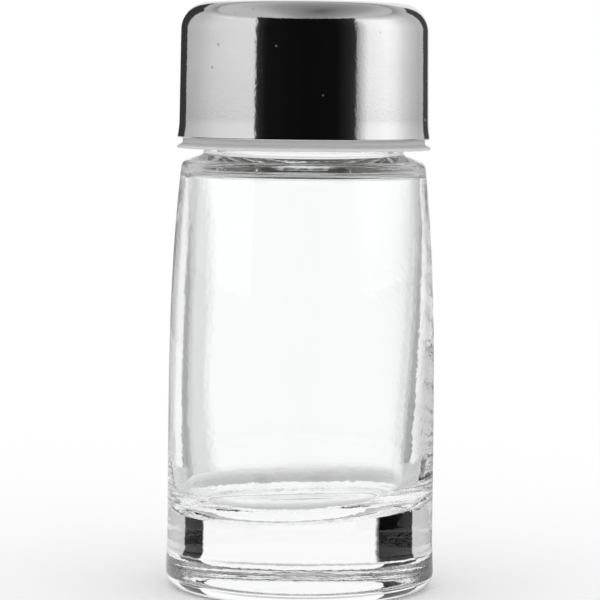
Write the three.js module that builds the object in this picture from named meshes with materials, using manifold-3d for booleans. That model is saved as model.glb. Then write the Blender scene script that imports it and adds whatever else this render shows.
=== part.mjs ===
// A small table salt shaker: a heavy-bottomed glass jar with a screw neck, and a drawn steel cap
// over a moulded insert that screws onto the neck and presses a sealing ring on its rim.
// Millimetres, +Z up. The origin is the centre of the foot, so the jar stands on Z = 0.
import * as THREE from "three";
import { mergeVertices } from "three/addons/utils/BufferGeometryUtils.js";
import Module from "manifold-3d";

const wasm = await Module();
wasm.setup();

// Glass jar, outside
const bodyRadius = 17.3; // the side at its widest, above the heel
const sideDraw = 1.55; // the side draws in by this much on its way up to the shoulder
const straightTop = 15; // below this height it doesn't draw in at all
const sideTop = 55.3; // height of the shoulder's outer edge
const shoulderWidth = 2.8; // from that edge in to the neck
const shoulderRise = 0.9; // the shoulder climbs this much over that width
const shoulderFillet = 1.1;
const heelProud = 0.2; // the heel, shaped by the mould's base plate, is this much wider
const heelFillet = 2;
const heelBand = 0.5; // upright band above that fillet
const heelStep = 0.7; // height over which the heel comes back to the side
const footRingWidth = 4.5; // flat ring that the jar stands on, from the heel's widest radius in
const footHollow = 0.8; // the middle of the foot is pushed up by this much

// Glass jar, neck
const neckHeight = 13.35; // from the top of the shoulder to the rim
const neckWall = 2.05;
const neckFillet = 0.6;
const rimFillet = 0.6;

// Glass jar, cavity
const shoulderWall = 1.05; // thickness of the side at the top of the cavity
const waistWall = 1.9; // half way down the cavity
const footWall = 2.7; // above the rounded bottom corner
const shoulderGlass = 1.9; // thickness of the glass under the shoulder's outer edge
const throatGlass = 1.3; // and where the bore opens into the cavity
const ceilingFillet = 1.6;
const throatFillet = 1.2;
const baseGlass = 9.4; // solid glass below the middle of the cavity
const floorRise = 0.5; // the floor dishes up by this much towards the wall
const floorFillet = 4.6;
const floorTaper = 0.5; // the wall leans in by this much below the place of footWall
const footWallRise = 2.5; // height of that place above the floor's fillet

// Insert
const threadRoom = 0.9; // between the neck and the insert's bore, for the screw thread
const insertWall = 1.7; // between the bore and the side, at the top
const insertDraft = 0.13; // the side is this much wider at the bottom
const insertPlate = 1.2; // plate that presses the sealing ring on the rim
const plateLedge = 2.95; // the plate's reach from the bore inwards
const upstandWall = 1.1; // rim above the plate, which fills the cap's corner
const upstandHeight = 1.35;
const upstandChamfer = 0.6;
const shoulderGap = 0.75; // between the shoulder of the jar and the insert
const lipProud = 0.72; // the lip reaches this far beyond the side
const lipEdge = 0.3; // thickness of the lip's edge
const lipFlank = 0.4; // height of the slope above that edge
const boreChamfer = 0.4; // lead-in at the mouth of the bore

// Sealing ring
const sealThickness = 1;
const sealWidth = 2.65;
const sealClearance = 0.1; // round the ring, inside the insert

// Steel cap
const steel = 0.35; // sheet thickness
const capClearance = 0.1; // between the insert and the sheet
const capCornerRadius = 3.6; // outside
const upstandReach = 0.95; // the insert's upstand reaches this far up into the corner
const crown = 0.32; // the top bulges up by this much
const flare = 0.26; // the cap's edge bells out by this much
const flareHeight = 2.6;
const edgeGap = 1.35; // between the bottom of the insert's lip and the cap's edge

// Sprinkle holes
const holeRadius = 0.8;
const holePitch = 3.4; // from each ring of holes to the next
const holeCounts = [1, 6, 12]; // in each ring, from the middle outwards

// Fineness of the round shapes
const turnSteps = 64;
const filletSteps = 3;
const sideSteps = 7;
const cavitySteps = 6;
const dishSteps = 2;
const flareSteps = 3;
const cornerSteps = 6;
const holeSteps = 14;
const overrun = 1; // a punch runs this far past the sheet on each side

// Sizes that follow from the ones above
const shoulderRadius = bodyRadius - sideDraw;
const neckRadius = shoulderRadius - shoulderWidth;
const boreRadius = neckRadius - neckWall;
const shoulderTop = sideTop + shoulderRise;
const rimHeight = shoulderTop + neckHeight;
const insertBore = neckRadius + threadRoom;
const insertTopRadius = insertBore + insertWall;
const insertSideRadius = insertTopRadius + insertDraft;
const plateBottom = rimHeight + sealThickness;
const plateTop = plateBottom + insertPlate;
const insertTop = plateTop + upstandHeight;
const lipBottom = shoulderTop + shoulderGap;
const capTopRadius = insertTopRadius + capClearance + steel;
const capSideRadius = insertSideRadius + capClearance + steel;
const capEdge = lipBottom + edgeGap;
const capCornerStart = insertTop - upstandReach;

const point = (r, z) => new THREE.Vector2(r, z);

// A corner of an outline, rounded if it has a fillet.
const corner = (r, z, fillet = 0) => ({ at: point(r, z), fillet });

// The points of an outline that closes on itself, given by its corners in order.
function roundedOutline(corners) {
  return corners.flatMap(({ at, fillet }, i) => {
    if (fillet === 0) return [at];
    const before = corners.at(i - 1).at;
    const after = corners[(i + 1) % corners.length].at;
    const back = before.clone().sub(at).normalize();
    const ahead = after.clone().sub(at).normalize();
    const halfAngle = Math.acos(back.dot(ahead)) / 2;
    const bisector = back.clone().add(ahead).normalize();
    const centre = at.clone().addScaledVector(bisector, fillet / Math.sin(halfAngle));
    const start = at.clone().addScaledVector(back, fillet / Math.tan(halfAngle));
    const sweep = -Math.sign(back.cross(ahead)) * (Math.PI - 2 * halfAngle);
    return Array.from({ length: filletSteps + 1 }, (_, k) =>
      start.clone().rotateAround(centre, (sweep * k) / filletSteps),
    );
  });
}

// Corners along a shallow bowl, from the axis out to just short of radius.
function bowl(radius, middleHeight, rise) {
  return Array.from({ length: dishSteps }, (_, i) => {
    const share = i / dishSteps;
    return corner(radius * share, middleHeight + rise * share ** 2);
  });
}

// A solid of revolution about Z. The outline keeps the solid on its left.
function revolve(outline) {
  return new THREE.LatheGeometry(outline, turnSteps).rotateX(Math.PI / 2);
}

// Radius of the jar's side: it draws in as the cube of the height above straightTop.
function sideRadius(height) {
  const share = Math.max(0, (height - straightTop) / (sideTop - straightTop));
  return bodyRadius - sideDraw * share ** 3;
}

function jarSide() {
  const corners = [];
  for (let i = 0; i <= sideSteps; i++) {
    const height = straightTop + ((sideTop - straightTop) * i) / sideSteps;
    corners.push(corner(sideRadius(height), height));
  }
  corners.at(-1).fillet = shoulderFillet;
  return corners;
}

// The cavity's wall from under the shoulder down to the rounded bottom corner. The glass gets
// steadily thicker on the way down.
function cavityWall(footWallHeight) {
  const top = sideTop - shoulderGlass;
  const waist = (top + footWallHeight) / 2;
  const stations = [
    point(sideRadius(top) - shoulderWall, top),
    point(sideRadius(waist) - waistWall, waist),
    point(sideRadius(footWallHeight) - footWall, footWallHeight),
  ];
  const points = new THREE.SplineCurve(stations).getPoints(cavitySteps);
  const corners = points.map(({ x, y }) => corner(x, y));
  corners[0].fillet = ceilingFillet;
  return corners;
}

function glassJar() {
  const heelRadius = bodyRadius + heelProud;
  const heelTop = heelFillet + heelBand;
  const footRadius = heelRadius - footRingWidth;
  const floorEdge = baseGlass + floorRise;
  const wall = cavityWall(floorEdge + floorFillet + footWallRise);
  const floorRadius = wall.at(-1).at.x - floorTaper;
  return revolve(
    roundedOutline([
      ...bowl(footRadius, footHollow, -footHollow),
      corner(footRadius, 0),
      corner(heelRadius, 0, heelFillet),
      corner(heelRadius, heelTop),
      corner(bodyRadius, heelTop + heelStep),
      ...jarSide(),
      corner(neckRadius, shoulderTop, neckFillet),
      corner(neckRadius, rimHeight, rimFillet),
      corner(boreRadius, rimHeight, rimFillet),
      corner(boreRadius, shoulderTop - throatGlass, throatFillet),
      ...wall,
      corner(floorRadius, floorEdge, floorFillet),
      ...bowl(floorRadius, baseGlass, floorRise).reverse(),
    ]),
  );
}

function sealingRing() {
  const outer = insertBore - sealClearance;
  const inner = outer - sealWidth;
  return revolve([
    point(inner, rimHeight),
    point(outer, rimHeight),
    point(outer, plateBottom),
    point(inner, plateBottom),
    point(inner, rimHeight),
  ]);
}

function capInsert() {
  const lipRadius = insertSideRadius + lipProud;
  const lipTop = lipBottom + lipEdge;
  const holeEdge = insertBore - plateLedge;
  return revolve([
    point(insertBore + boreChamfer, lipBottom),
    point(lipRadius, lipBottom),
    point(lipRadius, lipTop),
    point(insertSideRadius, lipTop + lipFlank),
    point(insertTopRadius, insertTop - upstandChamfer),
    point(insertTopRadius - upstandChamfer, insertTop),
    point(insertTopRadius - upstandWall, insertTop),
    point(insertTopRadius - upstandWall, plateTop),
    point(holeEdge, plateTop),
    point(holeEdge, plateBottom),
    point(insertBore, plateBottom),
    point(insertBore, lipBottom + boreChamfer),
    point(insertBore + boreChamfer, lipBottom),
  ]);
}

// One face of the cap's sheet, from its edge up to the middle of the top. The inset is 0 on the
// outside and the sheet's thickness on the inside.
function capFace(inset) {
  const points = [];
  for (let i = 0; i <= flareSteps; i++) {
    const share = i / flareSteps;
    const bell = flare * (1 - share) ** 2;
    points.push(point(capSideRadius - inset + bell, capEdge + flareHeight * share));
  }
  const arm = capCornerRadius - inset;
  const middle = point(capTopRadius - capCornerRadius, capCornerStart);
  for (let i = 0; i <= cornerSteps; i++) {
    const angle = (Math.PI / 2) * (i / cornerSteps);
    points.push(point(arm * Math.cos(angle), arm * Math.sin(angle)).add(middle));
  }
  const top = bowl(middle.x, middle.y + arm + crown, -crown).map(({ at }) => at);
  return [...points, ...top.reverse()];
}

// A three.js geometry as a solid that can be cut.
function toSolid(geometry) {
  const bare = geometry.clone().deleteAttribute("normal").deleteAttribute("uv");
  const { attributes, index } = mergeVertices(bare);
  const mesh = new wasm.Mesh({
    numProp: 3,
    vertProperties: attributes.position.array,
    triVerts: new Uint32Array(index.array),
  });
  return new wasm.Manifold(mesh);
}

function toGeometry(solid) {
  const { vertProperties, numProp, triVerts } = solid.getMesh();
  return new THREE.BufferGeometry()
    .setAttribute("position", new THREE.BufferAttribute(vertProperties, numProp))
    .setIndex(new THREE.BufferAttribute(triVerts, 1));
}

function steelCap() {
  let cap = toSolid(revolve([...capFace(steel).reverse(), ...capFace(0)]));
  const outsideTop = capCornerStart + capCornerRadius + crown;
  const depth = overrun + crown + steel + overrun;
  holeCounts.forEach((count, ring) => {
    for (let i = 0; i < count; i++) {
      const angle = (2 * Math.PI * i) / count;
      const reach = ring * holePitch;
      const punch = new THREE.CylinderGeometry(holeRadius, holeRadius, depth, holeSteps)
        .rotateX(Math.PI / 2)
        .translate(
          reach * Math.cos(angle),
          reach * Math.sin(angle),
          outsideTop + overrun - depth / 2,
        );
      cap = cap.subtract(toSolid(punch));
    }
  });
  return toGeometry(cap);
}

const clearGlass = new THREE.MeshStandardMaterial({
  color: 0xeef4f2,
  roughness: 0.03,
  metalness: 0,
  transparent: true,
  opacity: 0.35,
});
const naturalPlastic = new THREE.MeshStandardMaterial({
  color: 0xd2d3d1,
  roughness: 0.5,
  metalness: 0,
});
const sealFoam = new THREE.MeshStandardMaterial({ color: 0xe6e5df, roughness: 0.8, metalness: 0 });
const polishedSteel = new THREE.MeshStandardMaterial({
  color: 0xc9cacb,
  roughness: 0.12,
  metalness: 1,
});

function piece(name, geometry, material) {
  const mesh = new THREE.Mesh(geometry, material);
  mesh.name = name;
  return mesh;
}

const jar = piece("glass_jar", glassJar(), clearGlass);

const cap = new THREE.Group();
cap.add(
  piece("sealing_ring", sealingRing(), sealFoam),
  piece("cap_insert", capInsert(), naturalPlastic),
  piece("steel_cap", steelCap(), polishedSteel),
);

const shaker = new THREE.Group();
shaker.add(jar, cap);

export default shaker;
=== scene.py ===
# A small glass salt shaker with a screw-on steel cap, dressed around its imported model.
import math

import bmesh
import bpy
from mathutils import Matrix, Vector, noise


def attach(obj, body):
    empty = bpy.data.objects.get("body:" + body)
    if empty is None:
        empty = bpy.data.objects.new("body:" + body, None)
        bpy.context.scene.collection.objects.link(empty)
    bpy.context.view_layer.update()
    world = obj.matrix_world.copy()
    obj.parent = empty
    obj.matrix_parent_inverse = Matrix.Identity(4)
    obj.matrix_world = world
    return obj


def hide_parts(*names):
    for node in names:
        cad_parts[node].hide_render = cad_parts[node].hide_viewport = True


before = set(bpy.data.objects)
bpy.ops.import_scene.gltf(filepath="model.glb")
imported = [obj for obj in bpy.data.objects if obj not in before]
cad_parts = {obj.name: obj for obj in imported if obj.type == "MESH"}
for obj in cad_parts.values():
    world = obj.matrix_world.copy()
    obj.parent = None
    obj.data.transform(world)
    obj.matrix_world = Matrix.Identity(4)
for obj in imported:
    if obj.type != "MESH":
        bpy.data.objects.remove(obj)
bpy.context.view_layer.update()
scene = bpy.context.scene
print("frame loaded:", ", ".join(sorted(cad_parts)))

mm = 0.001  # sizes below are in millimetres, and each mesh is scaled to metres when it is finished
mergeReach = 0.002
sameRadius = 0.01  # how near a row must be to a wall's radius to count as that wall

# the camera of the photograph
shot = {
    "lens": 175.1,
    "sensor": 36,
    "distance": 379.5,
    "lookDown": 4.3,  # degrees below level
    "lean": 0.6,  # degrees: the photograph isn't quite upright
    "aim": (-0.28, 0, 37.3),
}


def placeCamera():
    data = bpy.data.cameras.new("camera")
    data.lens = shot["lens"]
    data.sensor_width = shot["sensor"]
    camera = bpy.data.objects.new("camera", data)
    scene.collection.objects.link(camera)
    tip = Matrix.Rotation(math.radians(90 - shot["lookDown"]), 4, "X")
    roll = Matrix.Rotation(math.radians(shot["lean"]), 4, "Z")
    aim = Matrix.Translation(Vector(shot["aim"]) * mm)
    back = Matrix.Translation((0, 0, shot["distance"] * mm))
    camera.matrix_world = aim @ tip @ roll @ back
    scene.camera = camera


placeCamera()
print("camera placed")


# tools that the pieces share
def linear(hexColour):
    # sRGB hex to the linear colour that shaders want
    parts = [int(hexColour[i:i + 2], 16) / 255 for i in (1, 3, 5)]
    return [p / 12.92 if p <= 0.04045 else ((p + 0.055) / 1.055) ** 2.4 for p in parts] + [1]


def addNode(tree, kind, inputs={}, **settings):
    node = tree.nodes.new("ShaderNode" + kind)
    for name, value in settings.items():
        setattr(node, name, value)
    for name, value in inputs.items():
        if isinstance(value, bpy.types.NodeSocket):
            tree.links.new(value, node.inputs[name])
        else:
            node.inputs[name].default_value = value
    return node


def newMaterial(name):
    material = bpy.data.materials.new(name)
    material.use_nodes = True
    material.node_tree.nodes.clear()
    return material, material.node_tree


def every(size):
    # a pattern's scale from its real size in millimetres
    return 1 / (size * mm)


def heightOf(tree, place):
    return addNode(tree, "SeparateXYZ", {"Vector": place}).outputs["Z"]


def reachOf(tree, place):
    # the distance from the axis
    flat = addNode(tree, "VectorMath", {0: place, 1: (1, 1, 0)}, operation="MULTIPLY").outputs["Vector"]
    return addNode(tree, "VectorMath", {0: flat}, operation="LENGTH").outputs["Value"]


def smoothStep(value, low, high):
    share = min(1, max(0, (value - low) / (high - low)))
    return share * share * (3 - 2 * share)


def outline(corners, closed=False, arcSteps=6):
    # a chain of edges in the XZ plane; each corner is (radius, height) or (radius, height, rounding)
    bm = bmesh.new()
    verts = [bm.verts.new((corner[0], 0, corner[1])) for corner in corners]
    for start, end in zip(verts, verts[1:] + verts[:1] if closed else verts[1:]):
        bm.edges.new((start, end))
    for vert, corner in zip(verts, corners):
        rounding = corner[2] if len(corner) > 2 else 0
        if rounding:
            arms = [(edge.other_vert(vert).co - vert.co).normalized() for edge in vert.link_edges]
            reach = rounding / math.tan(arms[0].angle(arms[1]) / 2)
            bmesh.ops.bevel(bm, geom=[vert], offset=reach, offset_type="OFFSET", segments=arcSteps,
                            profile=0.5, affect="VERTICES", material=-1)
    return bm


def turn(bm, steps):
    # the outline spun round the axis
    bmesh.ops.spin(bm, geom=bm.verts[:] + bm.edges[:], cent=(0, 0, 0), axis=(0, 0, 1),
                   dvec=(0, 0, 0), angle=2 * math.pi, steps=steps, use_merge=True)
    bmesh.ops.remove_doubles(bm, verts=bm.verts, dist=mergeReach)
    bmesh.ops.recalc_face_normals(bm, faces=bm.faces)
    # merging leaves edges and faces in another order each run, so they are put in order of their points
    bm.verts.index_update()
    for items in (bm.edges, bm.faces):
        ranked = sorted(items, key=lambda item: sorted(vert.index for vert in item.verts))
        for number, item in enumerate(ranked):
            item.index = number
        items.sort()


def finishPiece(bm, name, material, body, slot, *nodes, sharpAngle=50):
    # the mesh in metres, as an object that rides on its body and stands for its solids
    bmesh.ops.scale(bm, vec=(mm, mm, mm), verts=bm.verts)
    mesh = bpy.data.meshes.new(name)
    bm.to_mesh(mesh)
    bm.free()
    mesh.shade_smooth()
    mesh.set_sharp_from_angle(angle=math.radians(sharpAngle))
    mesh.materials.append(material)
    piece = bpy.data.objects.new(name, mesh)
    scene.collection.objects.link(piece)
    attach(piece, body)
    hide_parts(*nodes)
    return piece


def threadRise(point, thread):
    # how far the screw thread stands off its wall at a point, 0 to 1
    lap = (math.degrees(math.atan2(point.y, point.x)) - thread["start"]) % 360 / 360
    best = 0
    while lap <= thread["turns"]:
        off = abs(point.z - thread["foot"] - thread["pitch"] * lap)
        flank = 1 - smoothStep(off, thread["crest"] / 2, thread["root"] / 2)
        ends = smoothStep(min(lap, thread["turns"] - lap), 0, thread["fade"])
        best = max(best, flank * ends)
        lap += 1
    return best


# the glass jar, pressed and blown in one piece
jar = {
    "heelRadius": 17.45,
    "heelRound": 2.0,
    "heelTop": 2.4,
    "heelStep": 4.0,
    "heelBlend": 12,  # the rounding between heel and side
    "sideRadius": 17.3,
    "sideDraw": 1.55,  # the side draws in by this much up to the shoulder
    "sideRows": 60,
    "straightTop": 15,
    "sideTop": 55.3,
    "shoulderRound": 1.1,
    "shoulderTop": 56.2,
    "neckRadius": 12.95,
    "neckRound": 0.6,
    "neckFoot": 62,  # rows for the thread, from here up
    "neckRows": 80,
    "rimHeight": 69.55,
    "rimRound": 0.6,
    "boreRadius": 10.9,
    "throat": 54.75,
    "throatRound": 1.0,
    "cavityTop": 54.1,
    "cavityTopRadius": 14.95,
    "cavityTopRound": 1.2,
    "cavityFootRadius": 14.6,
    "cavityFoot": 17,
    "cavityBulge": 0.43,
    "cavityRows": 96,
    "floorEdge": 9.9,
    "floorEdgeRadius": 14.1,
    "floorRound": 4.6,
    "floorMiddle": 9.4,
    "floorRows": 11,
    "floorInnerRows": 7,  # the rounding of the floor's edge takes the others
    "footRadius": 13,
    "footEdge": 0.8,
    "footFlat": (0.7, 1.3),  # two rows on the ring that the jar stands on
    "footHollow": 0.4,
    "insideFoot": 9.3,  # the inside's points are above this, below "insideTop" and nearer than "insideReach"
    "insideTop": 55.75,
    "insideReach": 15.5,
    "cavityShift": -0.6,  # the blown cavity leans this way towards its foot
    "shiftBlend": (16, 48),  # the heights between which the lean fades
    "floorTilt": 2.6,  # degrees; the floor climbs to the right
    "tiltBlend": (12, 26),
    "wave": 0.012,  # uneven glass on the inside
    "waveSize": 9,
    "waveBlend": (48, 54),
    "steps": 256,
    "arcSteps": 10,
    "thread": {"start": 40, "foot": 63.9, "pitch": 3, "turns": 1.25, "crest": 0.7, "root": 1.5,
               "fade": 0.08, "height": 0.75},
    "tintDrift": 11.11,
    "ripple": 1.25,
    "rippleDepth": 0.04,
    "bead": 0.7143,  # small bumps that the blowing leaves on the cavity floor
    "beadDepth": 0.06,
    "beadReach": 15.5,
    "beadLow": 9,
    "beadHigh": 12.5,
}


def jarCorners():
    corners = [
        (0, jar["footHollow"]),
        (jar["footRadius"] * 0.5, jar["footHollow"] * 0.75),
        (jar["footRadius"], 0, jar["footEdge"]),
        (jar["footRadius"] + jar["footFlat"][0], 0),
        (jar["footRadius"] + jar["footFlat"][1], 0),
        (jar["heelRadius"], 0, jar["heelRound"]),
        (jar["heelRadius"], jar["heelTop"], jar["heelBlend"]),
        (jar["sideRadius"], jar["heelTop"] + jar["heelStep"], jar["heelBlend"]),
    ]
    for i in range(jar["sideRows"] + 1):
        share = i / jar["sideRows"]
        height = jar["straightTop"] + (jar["sideTop"] - jar["straightTop"]) * share
        corners.append((jar["sideRadius"] - jar["sideDraw"] * share ** 3, height,
                        jar["shoulderRound"] if i == jar["sideRows"] else 0))
    corners.append((jar["neckRadius"], jar["shoulderTop"], jar["neckRound"]))
    threaded = jar["rimHeight"] - 1 - jar["neckFoot"]
    for i in range(jar["neckRows"] + 1):
        corners.append((jar["neckRadius"], jar["neckFoot"] + threaded * i / jar["neckRows"]))
    corners += [
        (jar["neckRadius"], jar["rimHeight"], jar["rimRound"]),
        (jar["boreRadius"], jar["rimHeight"], jar["rimRound"]),
        (jar["boreRadius"], jar["throat"], jar["throatRound"]),
        (jar["cavityTopRadius"], jar["cavityTop"], jar["cavityTopRound"]),
    ]
    for i in range(1, jar["cavityRows"] + 1):
        share = 1 - i / jar["cavityRows"]
        height = jar["cavityFoot"] + (jar["cavityTop"] - jar["cavityFoot"]) * share
        radius = (jar["cavityFootRadius"] + (jar["cavityTopRadius"] - jar["cavityFootRadius"]) * share
                  + 4 * jar["cavityBulge"] * share * (1 - share))
        if height < jar["cavityTop"] - 1.5 * jar["cavityTopRound"]:
            corners.append((radius, height))
    corners.append((jar["floorEdgeRadius"], jar["floorEdge"], jar["floorRound"]))
    for i in range(jar["floorInnerRows"], -1, -1):
        share = i / jar["floorRows"]
        corners.append((jar["floorEdgeRadius"] * share,
                        jar["floorMiddle"] + (jar["floorEdge"] - jar["floorMiddle"]) * share ** 2))
    return corners


def makeJar(material):
    bm = outline(jarCorners(), arcSteps=jar["arcSteps"])
    turn(bm, jar["steps"])
    climb = math.tan(math.radians(jar["floorTilt"]))
    for vert in bm.verts:
        spot = vert.co.copy()
        radius = math.hypot(spot.x, spot.y)
        if abs(radius - jar["neckRadius"]) < sameRadius and spot.z > jar["neckFoot"] - 1:
            push = 1 + jar["thread"]["height"] * threadRise(spot, jar["thread"]) / radius
            vert.co.x *= push
            vert.co.y *= push
        if jar["insideFoot"] < spot.z < jar["insideTop"] and radius < jar["insideReach"]:
            # the cavity leans, its floor climbs, and its wall is a little uneven
            vert.co.x += jar["cavityShift"] * (1 - smoothStep(spot.z, *jar["shiftBlend"]))
            vert.co.z += climb * spot.x * (1 - smoothStep(spot.z, *jar["tiltBlend"]))
            swell = jar["wave"] * noise.noise(spot / jar["waveSize"])
            swell *= 1 - smoothStep(spot.z, *jar["waveBlend"])
            vert.co.x += spot.x / max(radius, 1) * swell
            vert.co.y += spot.y / max(radius, 1) * swell
    return finishPiece(bm, "jarGlass", material, "jar", "glass", "glass_jar")


# Soda-lime glass, pressed and blown, then fire-polished: clear and glossy, with a weak ripple in its skin.
def sodaLimeGlass():
    material, tree = newMaterial("sodaLimeGlassFirePolished")
    place = addNode(tree, "TexCoord").outputs["Object"]
    drift = addNode(tree, "TexNoise", {"Vector": place, "Scale": every(jar["tintDrift"]), "Detail": 1.0})
    ripple = addNode(tree, "TexNoise", {"Vector": place, "Scale": every(jar["ripple"]), "Detail": 2.0})
    bump = addNode(tree, "Bump", {"Height": ripple.outputs["Fac"], "Strength": 0.25,
                                  "Distance": jar["rippleDepth"] * mm})
    beads = addNode(tree, "TexNoise", {"Vector": place, "Scale": every(jar["bead"]), "Detail": 1.0})
    # the beads are on the cavity floor only
    within = addNode(tree, "Math", {0: reachOf(tree, place), 1: jar["beadReach"] * mm}, operation="LESS_THAN")
    height = heightOf(tree, place)
    over = addNode(tree, "Math", {0: height, 1: jar["beadLow"] * mm}, operation="GREATER_THAN")
    under = addNode(tree, "Math", {0: height, 1: jar["beadHigh"] * mm}, operation="LESS_THAN")
    beaded = beads.outputs["Fac"]
    for mask in (over, under, within):
        beaded = addNode(tree, "Math", {0: beaded, 1: mask.outputs["Value"]}, operation="MULTIPLY")
        beaded = beaded.outputs["Value"]
    bump = addNode(tree, "Bump", {"Height": beaded, "Strength": 0.4, "Distance": jar["beadDepth"] * mm,
                                  "Normal": bump.outputs["Normal"]})
    tint = addNode(tree, "ValToRGB", {"Fac": drift.outputs["Fac"]})
    tint.color_ramp.elements[0].color = linear("#fcfefd")
    tint.color_ramp.elements[1].color = linear("#ffffff")
    shader = addNode(tree, "BsdfPrincipled", {
        "Base Color": tint.outputs["Color"], "Transmission Weight": 1.0, "IOR": 1.52,
        "Roughness": 0.0, "Normal": bump.outputs["Normal"]})
    addNode(tree, "OutputMaterial", {"Surface": shader.outputs["BSDF"]})
    return material


makeJar(sodaLimeGlass())
print("glass jar made")

# the soft washer between the jar's rim and the insert's plate
seal = {
    "inner": 11.1,
    "outer": 13.75,
    "bottom": 69.6,
    "top": 70.55,
    "edge": 0.18,
    "steps": 128,
    "arcSteps": 4,
    "cell": 0.303,  # the foam's cells
    "cellDepth": 0.1,
}


def makeSeal(material):
    around = (("inner", "bottom"), ("outer", "bottom"), ("outer", "top"), ("inner", "top"))
    corners = [(seal[radius], seal[height], seal["edge"]) for radius, height in around]
    bm = outline(corners, closed=True, arcSteps=seal["arcSteps"])
    turn(bm, seal["steps"])
    return finishPiece(bm, "sealRing", material, "seal", "seal", "sealing_ring")


# Foamed polyethylene, cut from sheet: off-white and matte, with cells about 0.3 mm across.
def foamedPolyethylene():
    material, tree = newMaterial("foamedPolyethyleneCutSheet")
    place = addNode(tree, "TexCoord").outputs["Object"]
    cells = addNode(tree, "TexVoronoi", {"Vector": place, "Scale": every(seal["cell"])})
    shade = addNode(tree, "ValToRGB", {"Fac": cells.outputs["Distance"]})
    shade.color_ramp.elements[0].color = linear("#dedcd2")
    shade.color_ramp.elements[1].color = linear("#f0eee6")
    bump = addNode(tree, "Bump", {"Height": cells.outputs["Distance"], "Strength": 0.4,
                                  "Distance": seal["cellDepth"] * mm})
    shader = addNode(tree, "BsdfPrincipled", {
        "Base Color": shade.outputs["Color"], "Roughness": 0.8, "IOR": 1.5,
        "Normal": bump.outputs["Normal"]})
    addNode(tree, "OutputMaterial", {"Surface": shader.outputs["BSDF"]})
    return material


makeSeal(foamedPolyethylene())
print("sealing ring made")

# the moulded ring inside the cap, with the cap's thread and its pale lip
insert = {
    "bore": 13.85,
    "sideTop": 15.55,
    "sideBottom": 15.68,
    "lipBottom": 56.95,
    "lipRadius": 16.4,
    "lipEdge": 0.3,
    "lipFlank": 0.4,
    "plateBottom": 70.55,
    "plateTop": 71.75,
    "holeRadius": 10.9,
    "top": 73.1,
    "upstandInner": 14.45,
    "chamfer": 0.6,
    "lead": 0.4,  # the lip's inner edge is turned away by this much
    "lipRounds": (0.12, 0.12, 0.1, 0.25),
    "plateRounds": (0.2, 0.15, 0.15, 0.3, 0.2, 0.2, 0.15),
    "leadRound": 0.15,
    "rowsTop": 67.8,  # rows for the thread, from here down
    "rowsHeight": 6.6,
    "rows": 70,
    "threadWallTop": 69,
    "thread": {"start": 40, "foot": 62.575, "pitch": 3, "turns": 1.1, "crest": 0.6, "root": 1.3,
               "fade": 0.08, "height": 0.7},
    "steps": 160,
    "arcSteps": 4,
    "skirtShadeFrom": 15.2,  # milky up to here; the skirt outside it is painted greyer, as painted shade
    "flow": 2.5,  # the flow marks
    "flowDepth": 0.1,
}


def makeInsert(material):
    lipTop = insert["lipBottom"] + insert["lipEdge"]
    places = [
        (insert["bore"] + insert["lead"], insert["lipBottom"]),
        (insert["lipRadius"], insert["lipBottom"]),
        (insert["lipRadius"], lipTop),
        (insert["sideBottom"], lipTop + insert["lipFlank"]),
        (insert["sideTop"], insert["top"] - insert["chamfer"]),
        (insert["sideTop"] - insert["chamfer"], insert["top"]),
        (insert["upstandInner"], insert["top"]),
        (insert["upstandInner"], insert["plateTop"]),
        (insert["holeRadius"], insert["plateTop"]),
        (insert["holeRadius"], insert["plateBottom"]),
        (insert["bore"], insert["plateBottom"]),
    ]
    rounds = insert["lipRounds"] + insert["plateRounds"]
    corners = [(*place, rounding) for place, rounding in zip(places, rounds)]
    for i in range(insert["rows"] + 1):
        corners.append((insert["bore"], insert["rowsTop"] - insert["rowsHeight"] * i / insert["rows"]))
    corners.append((insert["bore"], insert["lipBottom"] + insert["lead"], insert["leadRound"]))
    bm = outline(corners, closed=True, arcSteps=insert["arcSteps"])
    turn(bm, insert["steps"])
    for vert in bm.verts:
        radius = math.hypot(vert.co.x, vert.co.y)
        if abs(radius - insert["bore"]) < sameRadius and vert.co.z < insert["threadWallTop"]:
            push = 1 - insert["thread"]["height"] * threadRise(vert.co, insert["thread"]) / radius
            vert.co.x *= push
            vert.co.y *= push
    return finishPiece(bm, "capInsert", material, "cap", "insert", "cap_insert")


# Polypropylene, injection moulded, natural: milky and faintly see-through, with soft flow marks; its outer
# skirt is painted a darker grey, which is painted shade.
def naturalPolypropylene():
    material, tree = newMaterial("polypropyleneInjectionMoulded")
    place = addNode(tree, "TexCoord").outputs["Object"]
    flow = addNode(tree, "TexNoise", {"Vector": place, "Scale": every(insert["flow"]), "Detail": 3.0})
    # painted shade: past this radius the outer skirt is painted a darker grey, on top of the small tone
    # changes from the flow marks
    shadedSkirt = addNode(tree, "MapRange", {"Value": reachOf(tree, place), "From Min": insert["skirtShadeFrom"] * mm,
                                      "From Max": insert["sideTop"] * mm})
    flowMarksAndShade = addNode(tree, "Math", {0: flow.outputs["Fac"], 1: 0.12, 2: shadedSkirt.outputs["Result"]},
                      operation="MULTIPLY_ADD")
    # the grey end of this ramp is the painted shade on the skirt, the rest of it is the plastic's own milky
    # tone
    shade = addNode(tree, "ValToRGB", {"Fac": flowMarksAndShade.outputs["Value"]})
    shade.color_ramp.elements[0].color = linear("#f4f4f2")
    shade.color_ramp.elements[1].color = linear("#cdcecd")
    bump = addNode(tree, "Bump", {"Height": flow.outputs["Fac"], "Strength": 0.1,
                                  "Distance": insert["flowDepth"] * mm})
    shader = addNode(tree, "BsdfPrincipled", {
        "Base Color": shade.outputs["Color"], "Roughness": 0.45, "IOR": 1.49,
        "Subsurface Weight": 0.3, "Subsurface Radius": (0.001, 0.001, 0.001), "Subsurface Scale": 1.0,
        "Normal": bump.outputs["Normal"]})
    addNode(tree, "OutputMaterial", {"Surface": shader.outputs["BSDF"]})
    return material


makeInsert(naturalPolypropylene())
print("cap insert made")

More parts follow.
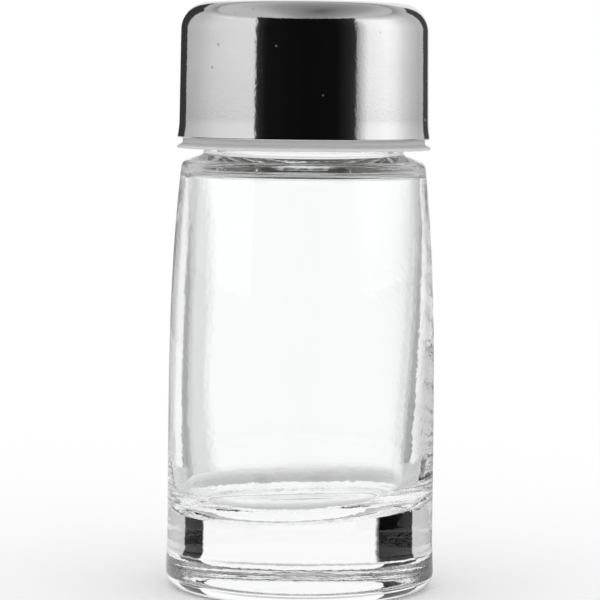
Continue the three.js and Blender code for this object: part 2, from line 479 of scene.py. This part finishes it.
# the drawn steel shell with its sprinkle holes
shell = {
    "sideRadius": 16.13,
    "topRadius": 16,
    "sheet": 0.35,
    "edge": 58.3,
    "edgeRound": 0.16,
    "flare": 0.26,  # the steel's edge stands out by this much
    "flareHeight": 2.6,
    "flareRows": 8,
    "cornerStart": 72.15,
    "cornerRadius": 3.6,
    "cornerRows": 24,
    "crown": 0.31,
    "crownRows": 12,
    "sharpAngle": 28,
    "holeRadius": 0.8,
    "holePitch": 3.4,
    "holeCounts": (1, 6, 12),
    "holeRoll": 0.12,  # the punch draws the hole's edge in by this much
    "holeSteps": 28,
    "punchDepth": 1.5,
    "punchOver": 0.2,  # it stands this far over the top
    "steps": 192,
    "arcSteps": 4,
    "haze": 3.846,  # patches of buffing haze
    "grain": 0.3846,  # buffing marks are much finer and can't be seen from here, so they are drawn coarser
    "grainDepth": 0.022,
    "pit": 2.632,  # cells of this size; about half of them hold one pit
}


def capSkin(inset):
    # one face of the sheet, from its edge up to the middle of the top
    points = []
    for i in range(shell["flareRows"] + 1):
        share = i / shell["flareRows"]
        bell = shell["flare"] * (1 - share) ** 2
        points.append((shell["sideRadius"] - inset + bell, shell["edge"] + shell["flareHeight"] * share))
    arm = shell["cornerRadius"] - inset
    middle = shell["topRadius"] - shell["cornerRadius"]
    for i in range(shell["cornerRows"] + 1):
        angle = math.pi / 2 * i / shell["cornerRows"]
        points.append((middle + arm * math.cos(angle), shell["cornerStart"] + arm * math.sin(angle)))
    for i in range(shell["crownRows"] - 1, -1, -1):
        share = i / shell["crownRows"]
        points.append((middle * share, shell["cornerStart"] + arm + shell["crown"] * (1 - share ** 2)))
    return points


def makePunches():
    # one cutter for each hole, with a trumpet mouth that leaves the edge drawn in
    bm = bmesh.new()
    radius, roll = shell["holeRadius"], shell["holeRoll"]
    deep, over = -shell["punchDepth"], shell["punchOver"]
    trumpet = [(0, deep), (radius, deep), (radius, -roll * 1.2), (radius + roll * 0.35, -roll * 0.35),
               (radius + roll * 1.1, 0.0), (radius + roll * 2, over), (0, over)]
    middle = shell["topRadius"] - shell["cornerRadius"]
    for ring, count in enumerate(shell["holeCounts"]):
        for i in range(count):
            angle = 2 * math.pi * i / count
            reach = ring * shell["holePitch"]
            height = (shell["cornerStart"] + shell["cornerRadius"]
                      + shell["crown"] * (1 - (reach / middle) ** 2))
            punch = outline(trumpet)
            turn(punch, shell["holeSteps"])
            bmesh.ops.translate(punch, vec=(reach * math.cos(angle), reach * math.sin(angle), height),
                                verts=punch.verts)
            part = bpy.data.meshes.new("punch")
            punch.to_mesh(part)
            punch.free()
            bm.from_mesh(part)
            bpy.data.meshes.remove(part)
    bmesh.ops.scale(bm, vec=(mm, mm, mm), verts=bm.verts)
    mesh = bpy.data.meshes.new("punches")
    bm.to_mesh(mesh)
    bm.free()
    punches = bpy.data.objects.new("punches", mesh)
    scene.collection.objects.link(punches)
    return punches


def makeShell(material):
    inner, outer = capSkin(shell["sheet"]), capSkin(0)
    for skin in (inner, outer):
        skin[0] += (shell["edgeRound"],)
    bm = outline(inner[::-1] + outer, arcSteps=shell["arcSteps"])
    turn(bm, shell["steps"])
    piece = finishPiece(bm, "steelShell", material, "cap", "steel", "steel_cap",
                        sharpAngle=shell["sharpAngle"])
    punches = makePunches()
    cut = piece.modifiers.new("holes", "BOOLEAN")
    cut.operation = "DIFFERENCE"
    cut.solver = "EXACT"
    cut.object = punches
    bpy.context.view_layer.update()
    graph = bpy.context.evaluated_depsgraph_get()
    punched = bpy.data.meshes.new_from_object(piece.evaluated_get(graph))
    piece.modifiers.clear()
    plain = piece.data
    piece.data = punched
    bpy.data.meshes.remove(plain)
    bpy.data.objects.remove(punches)
    punched.name = "steelShell"
    punched.shade_smooth()
    punched.set_sharp_from_angle(angle=math.radians(shell["sharpAngle"]))
    return piece


# Stainless steel 18/8, deep drawn and buffed: near-mirror, with faint buffing haze and a few tiny pits.
def buffedStainless():
    material, tree = newMaterial("stainlessSteelDrawnBuffed")
    place = addNode(tree, "TexCoord").outputs["Object"]
    haze = addNode(tree, "TexNoise", {"Vector": place, "Scale": every(shell["haze"]), "Detail": 4.0})
    grain = addNode(tree, "TexNoise", {"Vector": place, "Scale": every(shell["grain"]), "Detail": 2.0})
    pits = addNode(tree, "TexVoronoi", {"Vector": place, "Scale": every(shell["pit"])})
    chosen = addNode(tree, "SeparateColor", {"Color": pits.outputs["Color"]}).outputs["Red"]
    few = addNode(tree, "Math", {0: chosen, 1: 0.45}, operation="GREATER_THAN").outputs["Value"]
    spot = addNode(tree, "MapRange", {"Value": pits.outputs["Distance"], "From Min": 0.09, "From Max": 0.05})
    pit = addNode(tree, "Math", {0: spot.outputs["Result"], 1: few}, operation="MULTIPLY").outputs["Value"]
    rough = addNode(tree, "MapRange", {"Value": haze.outputs["Fac"], "From Min": 0.3, "From Max": 0.7,
                                       "To Min": 0.06, "To Max": 0.09})
    rougher = addNode(tree, "Math", {0: pit, 1: 0.45, 2: rough.outputs["Result"]}, operation="MULTIPLY_ADD")
    tone = addNode(tree, "ValToRGB", {"Fac": haze.outputs["Fac"]})
    tone.color_ramp.elements[0].color = linear("#e0e0e0")
    tone.color_ramp.elements[1].color = linear("#eeeeee")
    bump = addNode(tree, "Bump", {"Height": grain.outputs["Fac"], "Strength": 0.3,
                                  "Distance": shell["grainDepth"] * mm})
    shader = addNode(tree, "BsdfPrincipled", {
        "Base Color": tone.outputs["Color"], "Metallic": 1.0, "Roughness": rougher.outputs["Value"],
        "Normal": bump.outputs["Normal"]})
    addNode(tree, "OutputMaterial", {"Surface": shader.outputs["BSDF"]})
    return material


makeShell(buffedStainless())
print("steel cap made")

# Everything round the shaker is stage. Places round it are azimuths in degrees from the far side, +Y,
# towards the photograph's right, +X. The walls glow evenly, and only mirrored or only refracted rays see
# them. In each wall, "greys" are (azimuth, grey) and "rise" is (height, grey), which dims the greys.
studio = {
    "floorSize": 3000,
    "wallColumns": 96,
    "wallRows": 8,
    "roofSteps": 64,
    "maxBounces": 48,
    "diffuseBounces": 8,
    "glossyBounces": 32,
    "transmissionBounces": 24,
    "crossings": 2.5,  # shallow walls are seen through fewer glass faces than this, deep walls through more
}

# What the cap mirrors: grey walls all round, a dark card at the camera's side, and two close dark strips.
mirrorWalls = {
    "mirrorLow": {
        "radius": 1000, "bottom": 36, "top": 665, "strength": 1.22,
        "greys": [(-180, "#dedede"), (-113, "#dedede"), (-89, "#d5d5d5"), (-66, "#bfbfbf"), (-44, "#b4b4b4"),
                  (-12, "#c0c0c0"), (-8, "#e4e4e4"), (16, "#e4e4e4"), (20, "#c4c4c4"), (39, "#bababa"),
                  (50, "#b4b4b4"), (63, "#c5c5c5"), (76, "#d9d9d9"), (88, "#f5f5f5"), (99, "#ffffff"),
                  (120, "#f2f2f2"), (128, "#bababa"), (133, "#808080"), (180, "#808080")],
        "rise": [(36, "#e0e0e0"), (75, "#f2f2f2"), (135, "#fafafa")],
    },
    "mirrorHigh": {
        "radius": 1000, "bottom": 665, "top": 963, "strength": 1.22,
        "greys": [(-180, "#dedede"), (-96, "#e2e2e2"), (-70, "#cccccc"), (-50, "#ababab"), (0, "#ababab"),
                  (44, "#b0b0b0"), (57, "#b0b0b0"), (63, "#bfbfbf"), (84, "#d8d8d8"), (108, "#ececec"),
                  (180, "#d8d8d8")],
        "rise": [(665, "#ffffff"), (780, "#f4f4f4"), (963, "#c4c4c4")],
    },
    "mirrorEdge": {
        "radius": 1000, "bottom": -45, "top": 36,
        "greys": [(-180, "#404040"), (-60, "#404040"), (-48, "#b8b8b8"), (-4, "#b8b8b8"), (4, "#f0f0f0"),
                  (48, "#f0f0f0"), (60, "#404040"), (180, "#404040")],
    },
    "mirrorBelow": {
        "radius": 1000, "bottom": -600, "top": -45,
        "greys": [(-180, "#404040"), (-60, "#404040"), (-48, "#e4e4e4"), (-4, "#e4e4e4"), (4, "#b4b4b4"),
                  (48, "#b4b4b4"), (60, "#303030"), (180, "#303030")],
    },
    "frontCard": {  # "spread" widens it towards its top
        "radius": 980, "bottom": -600, "top": 963, "from": 132, "to": 225.3, "spread": 0.16,
        "greys": [(-180, "#0e0e0e"), (-145, "#141414"), (-136, "#2c2c2c"), (130, "#323232"), (139, "#262626"),
                  (150, "#101010"), (180, "#0e0e0e")],
    },
    "edgeCardLeft": {  # close behind the cap, for the dark line down its side
        "radius": 60, "bottom": 57.5, "top": 108, "from": -54.5, "to": -25.4,
        "greys": [(-180, "#383838"), (180, "#383838")],
    },
    "edgeCardRight": {
        "radius": 60, "bottom": 57.5, "top": 108, "from": 33.4, "to": 52.5,
        "greys": [(-180, "#464646"), (180, "#464646")],
    },
}
mirrorRoof = {  # dark over the camera's right, in ovals that are longer towards the far side
    "radius": 1000, "height": 963, "middle": (150, -200), "stretch": 0.45,
    "greys": [(0, "#6c6c6c"), (50, "#6c6c6c"), (120, "#808080"), (250, "#929292"), (340, "#9c9c9c"),
              (400, "#a4a4a4"), (470, "#b2b2b2"), (560, "#bebebe"), (650, "#c6c6c6"), (1500, "#cacaca")],
}

# What is seen through the glass. "repeat" shows a pattern on the near side too, so the back looks like the
# front. "lean" slants it below the height "leanFrom", by so many degrees for each millimetre.
glassWalls = {
    "glassLow": {
        "radius": 1000, "bottom": -900, "top": -330, "repeat": 2,
        "greys": [(-90, "#ffffff"), (90, "#ffffff")],
        "rise": [(-700, "#bcbcbc"), (-480, "#d0d0d0"), (-330, "#f2f2f2")],
    },
    "glassLeft": {  # dark flags and pale greys for the rays through the base
        "radius": 1000, "bottom": -330, "top": 90, "from": -180, "to": 0, "repeat": 2, "depth": "shallow",
        "greys": [(-90, "#ffffff"), (-68, "#ffffff"), (-62, "#d4d4d4"), (-58, "#808080"), (-49, "#808080"),
                  (-46.5, "#ffffff"), (-33, "#ffffff"), (-27, "#d8d8d8"), (-10, "#cccccc"), (0, "#cccccc"),
                  (90, "#ffffff")],
    },
    "glassRight": {
        "radius": 1000, "bottom": -330, "top": 90, "from": 0, "to": 180, "repeat": 2, "depth": "shallow",
        "lean": 0.051, "leanFrom": -90,
        "greys": [(-90, "#ffffff"), (-12, "#c8c8c8"), (16, "#cccccc"), (24, "#e4e4e4"), (32, "#ffffff"),
                  (35.2, "#ffffff"), (36.4, "#acacac"), (52, "#acacac"), (54, "#ffffff"), (90, "#ffffff")],
    },
    "glassHigh": {
        "radius": 1000, "bottom": 90, "top": 700, "repeat": 2,
        "greys": [(-90, "#ffffff"), (90, "#ffffff")],
        "rise": [(90, "#f8f8f8"), (500, "#dddddd")],
    },
    "bodyLeft": {  # the grey band that the left of the body shows
        "radius": 990, "bottom": -330, "top": 90, "from": -48, "to": 0, "depth": "deep", "strength": 1.03,
        "lean": 0.0128, "leanFrom": -90,
        "greys": [(-180, "#f6f6f6"), (-37, "#f6f6f6"), (-29, "#989898"), (-20, "#989898"), (-19.2, "#d9d9d9"),
                  (-9.5, "#dddddd"), (-7.5, "#ffffff"), (180, "#ffffff")],
        "rise": [(-330, "#f2f2f2"), (-230, "#ffffff")],
    },
    "bodyRight": {
        "radius": 990, "bottom": -330, "top": 90, "from": 0, "to": 48, "depth": "deep", "strength": 1.03,
        "lean": 0.125, "leanFrom": -90,
        "greys": [(-180, "#ffffff"), (4, "#ffffff"), (9, "#f8f8f8"), (13, "#e4e4e4"), (16, "#dadada"),
                  (19, "#cccccc"), (23, "#b8b8b8"), (26, "#a0a0a0"), (29, "#a0a0a0"), (37, "#f6f6f6"),
                  (180, "#f6f6f6")],
        "rise": [(-330, "#f2f2f2"), (-230, "#ffffff")],
    },
    "footFlags": {  # dark, for the rays that the foot turns upwards
        "radius": 990, "bottom": 90, "top": 520, "repeat": 2, "depth": "shallow",
        "greys": [(-90, "#ffffff"), (-50.5, "#ffffff"), (-50, "#060606"), (-28, "#060606"),
                  (-27.5, "#ffffff"), (34.5, "#ffffff"), (35, "#060606"), (52, "#060606"),
                  (52.5, "#ffffff"), (90, "#ffffff")],
    },
    "baseFlags": {  # close round the foot, for the dark crescents in the base
        "radius": 60, "bottom": -24, "top": 1.2, "repeat": 2, "depth": "shallow",
        "greys": [(-90, "#ffffff"), (-74, "#ffffff"), (-68, "#d8d8d8"), (-33, "#d8d8d8"),
                  (-32.3, "#060606"), (-15.6, "#060606"), (-15, "#ffffff"), (22.6, "#ffffff"),
                  (23.2, "#060606"), (34.6, "#060606"), (35.2, "#d0d0d0"), (68, "#d0d0d0"),
                  (74, "#ffffff"), (90, "#ffffff")],
    },
}


def addRamp(tree, value, stops):
    # stops are (place from 0 to 1, sRGB grey), in order
    ramp = addNode(tree, "ValToRGB", {"Fac": value})
    points = ramp.color_ramp.elements
    points.remove(points[-1])
    for number, (place, grey) in enumerate(stops):
        point = points.new(place) if number else points[0]
        point.position = place
        point.color = linear(grey)
    return ramp.outputs["Color"]


def glowingPaint(name, wall):
    # even greys that change with the azimuth and, where "rise" is given, with the height; 0 at the far side
    material, tree = newMaterial(name)
    place = addNode(tree, "TexCoord").outputs["Object"]
    turned = addNode(tree, "Mapping", {"Vector": place, "Scale": (-1, 1, 1),
                                       "Rotation": (0, 0, -math.pi / 2)}).outputs["Vector"]
    around = addNode(tree, "TexGradient", {"Vector": turned}, gradient_type="RADIAL").outputs["Fac"]
    repeat = wall.get("repeat", 1)
    many = addNode(tree, "Math", {0: around, 1: repeat, 2: 0.5 * (repeat - 1)}, operation="MULTIPLY_ADD")
    if "lean" in wall:
        start = wall["leanFrom"] * mm
        below = addNode(tree, "Math", {0: heightOf(tree, place), 1: start}, operation="MINIMUM")
        slant = addNode(tree, "Math", {0: below.outputs["Value"], 1: start}, operation="SUBTRACT")
        many = addNode(tree, "Math", {0: slant.outputs["Value"], 1: wall["lean"] * repeat / mm / 360,
                                      2: many.outputs["Value"]}, operation="MULTIPLY_ADD")
    share = addNode(tree, "Math", {0: many.outputs["Value"]}, operation="FRACT")
    grey = addRamp(tree, share.outputs["Value"],
                   [(azimuth * repeat / 360 + 0.5, tone) for azimuth, tone in wall["greys"]])
    if "rise" in wall:
        low, high = wall["rise"][0][0], wall["rise"][-1][0]
        level = addNode(tree, "MapRange", {"Value": heightOf(tree, place), "From Min": low * mm,
                                           "From Max": high * mm})
        dim = addRamp(tree, level.outputs["Result"],
                      [((at - low) / (high - low), tone) for at, tone in wall["rise"]])
        grey = addNode(tree, "VectorMath", {0: grey, 1: dim}, operation="MULTIPLY").outputs["Vector"]
    glow = addNode(tree, "Emission", {"Color": grey, "Strength": wall.get("strength", 1)}).outputs["Emission"]
    if "depth" in wall:
        # shallow: seen only through the solid base or one wall; deep: only across the cavity
        crossed = addNode(tree, "LightPath").outputs["Transmission Depth"]
        hidden = addNode(tree, "Math", {0: crossed, 1: studio["crossings"]},
                         operation="GREATER_THAN" if wall["depth"] == "shallow" else "LESS_THAN")
        clear = addNode(tree, "BsdfTransparent").outputs["BSDF"]
        glow = addNode(tree, "MixShader", {"Fac": hidden.outputs["Value"], 1: glow, 2: clear})
        glow = glow.outputs["Shader"]
    addNode(tree, "OutputMaterial", {"Surface": glow})
    material.cycles.emission_sampling = "NONE"
    return material


def addStage(name, bm, material, *hiddenFrom):
    # a stage object that the named rays don't see
    mesh = bpy.data.meshes.new(name)
    bm.to_mesh(mesh)
    bm.free()
    mesh.materials.append(material)
    thing = bpy.data.objects.new(name, mesh)
    scene.collection.objects.link(thing)
    for ray in hiddenFrom:
        setattr(thing, "visible_" + ray, False)


def addWall(name, wall, hiddenRay):
    # a flat grid bent round the shaker
    bm = bmesh.new()
    bmesh.ops.create_grid(bm, x_segments=studio["wallColumns"], y_segments=studio["wallRows"], size=0.5)
    start, stop = wall.get("from", -180), wall.get("to", 180)
    for vert in bm.verts:
        up = vert.co.y + 0.5
        across = vert.co.x * (1 + wall.get("spread", 0) * smoothStep(up, 0.6, 1))
        azimuth = math.radians((start + stop) / 2 + (stop - start) * across)
        height = wall["bottom"] + (wall["top"] - wall["bottom"]) * up
        side = wall["radius"] * Vector((math.sin(azimuth), math.cos(azimuth)))
        vert.co = Vector((side.x, side.y, height)) * mm
    addStage(name, bm, glowingPaint(name, wall), "camera", "diffuse", "shadow", "volume_scatter", hiddenRay)


def addRoof():
    # a disc over the walls, its greys in ovals round its darkest place
    bm = bmesh.new()
    bmesh.ops.create_circle(bm, cap_ends=True, segments=studio["roofSteps"],
                            radius=mirrorRoof["radius"] * mm)
    bmesh.ops.translate(bm, vec=(0, 0, mirrorRoof["height"] * mm), verts=bm.verts)
    material, tree = newMaterial("mirrorRoof")
    place = addNode(tree, "TexCoord").outputs["Object"]
    middle = Vector(mirrorRoof["middle"]).to_3d() * mm
    apart = addNode(tree, "VectorMath", {0: place, 1: middle}, operation="SUBTRACT")
    oval = addNode(tree, "VectorMath", {0: apart.outputs["Vector"], 1: (1, mirrorRoof["stretch"], 0)},
                   operation="MULTIPLY")
    reach = addNode(tree, "VectorMath", {0: oval.outputs["Vector"]}, operation="LENGTH").outputs["Value"]
    farthest = mirrorRoof["greys"][-1][0]
    share = addNode(tree, "MapRange", {"Value": reach, "From Max": farthest * mm})
    grey = addRamp(tree, share.outputs["Result"], [(at / farthest, tone) for at, tone in mirrorRoof["greys"]])
    glow = addNode(tree, "Emission", {"Color": grey})
    addNode(tree, "OutputMaterial", {"Surface": glow.outputs["Emission"]})
    material.cycles.emission_sampling = "NONE"
    addStage("mirrorRoof", bm, material, "camera", "diffuse", "shadow", "volume_scatter", "transmission")


def addFloor():
    bm = bmesh.new()
    bmesh.ops.create_grid(bm, x_segments=1, y_segments=1, size=studio["floorSize"] * mm)
    material, tree = newMaterial("floor")
    shader = addNode(tree, "BsdfDiffuse", {"Color": linear("#ffffff")})
    addNode(tree, "OutputMaterial", {"Surface": shader.outputs["BSDF"]})
    addStage("floor", bm, material, "transmission", "glossy")


def lightWorld():
    world = bpy.data.worlds.new("softWhite")
    scene.world = world
    world.use_nodes = True
    tree = world.node_tree
    tree.nodes.clear()
    back = addNode(tree, "Background", {"Color": linear("#ffffff"), "Strength": 1.0})
    addNode(tree, "OutputWorld", {"Surface": back.outputs["Background"]})


addFloor()
addRoof()
for name, wall in mirrorWalls.items():
    addWall(name, wall, "transmission")
for name, wall in glassWalls.items():
    addWall(name, wall, "glossy")
lightWorld()
scene.view_settings.view_transform = "Standard"
scene.cycles.max_bounces = studio["maxBounces"]
scene.cycles.diffuse_bounces = studio["diffuseBounces"]
scene.cycles.glossy_bounces = studio["glossyBounces"]
scene.cycles.transmission_bounces = studio["transmissionBounces"]
print("studio set")
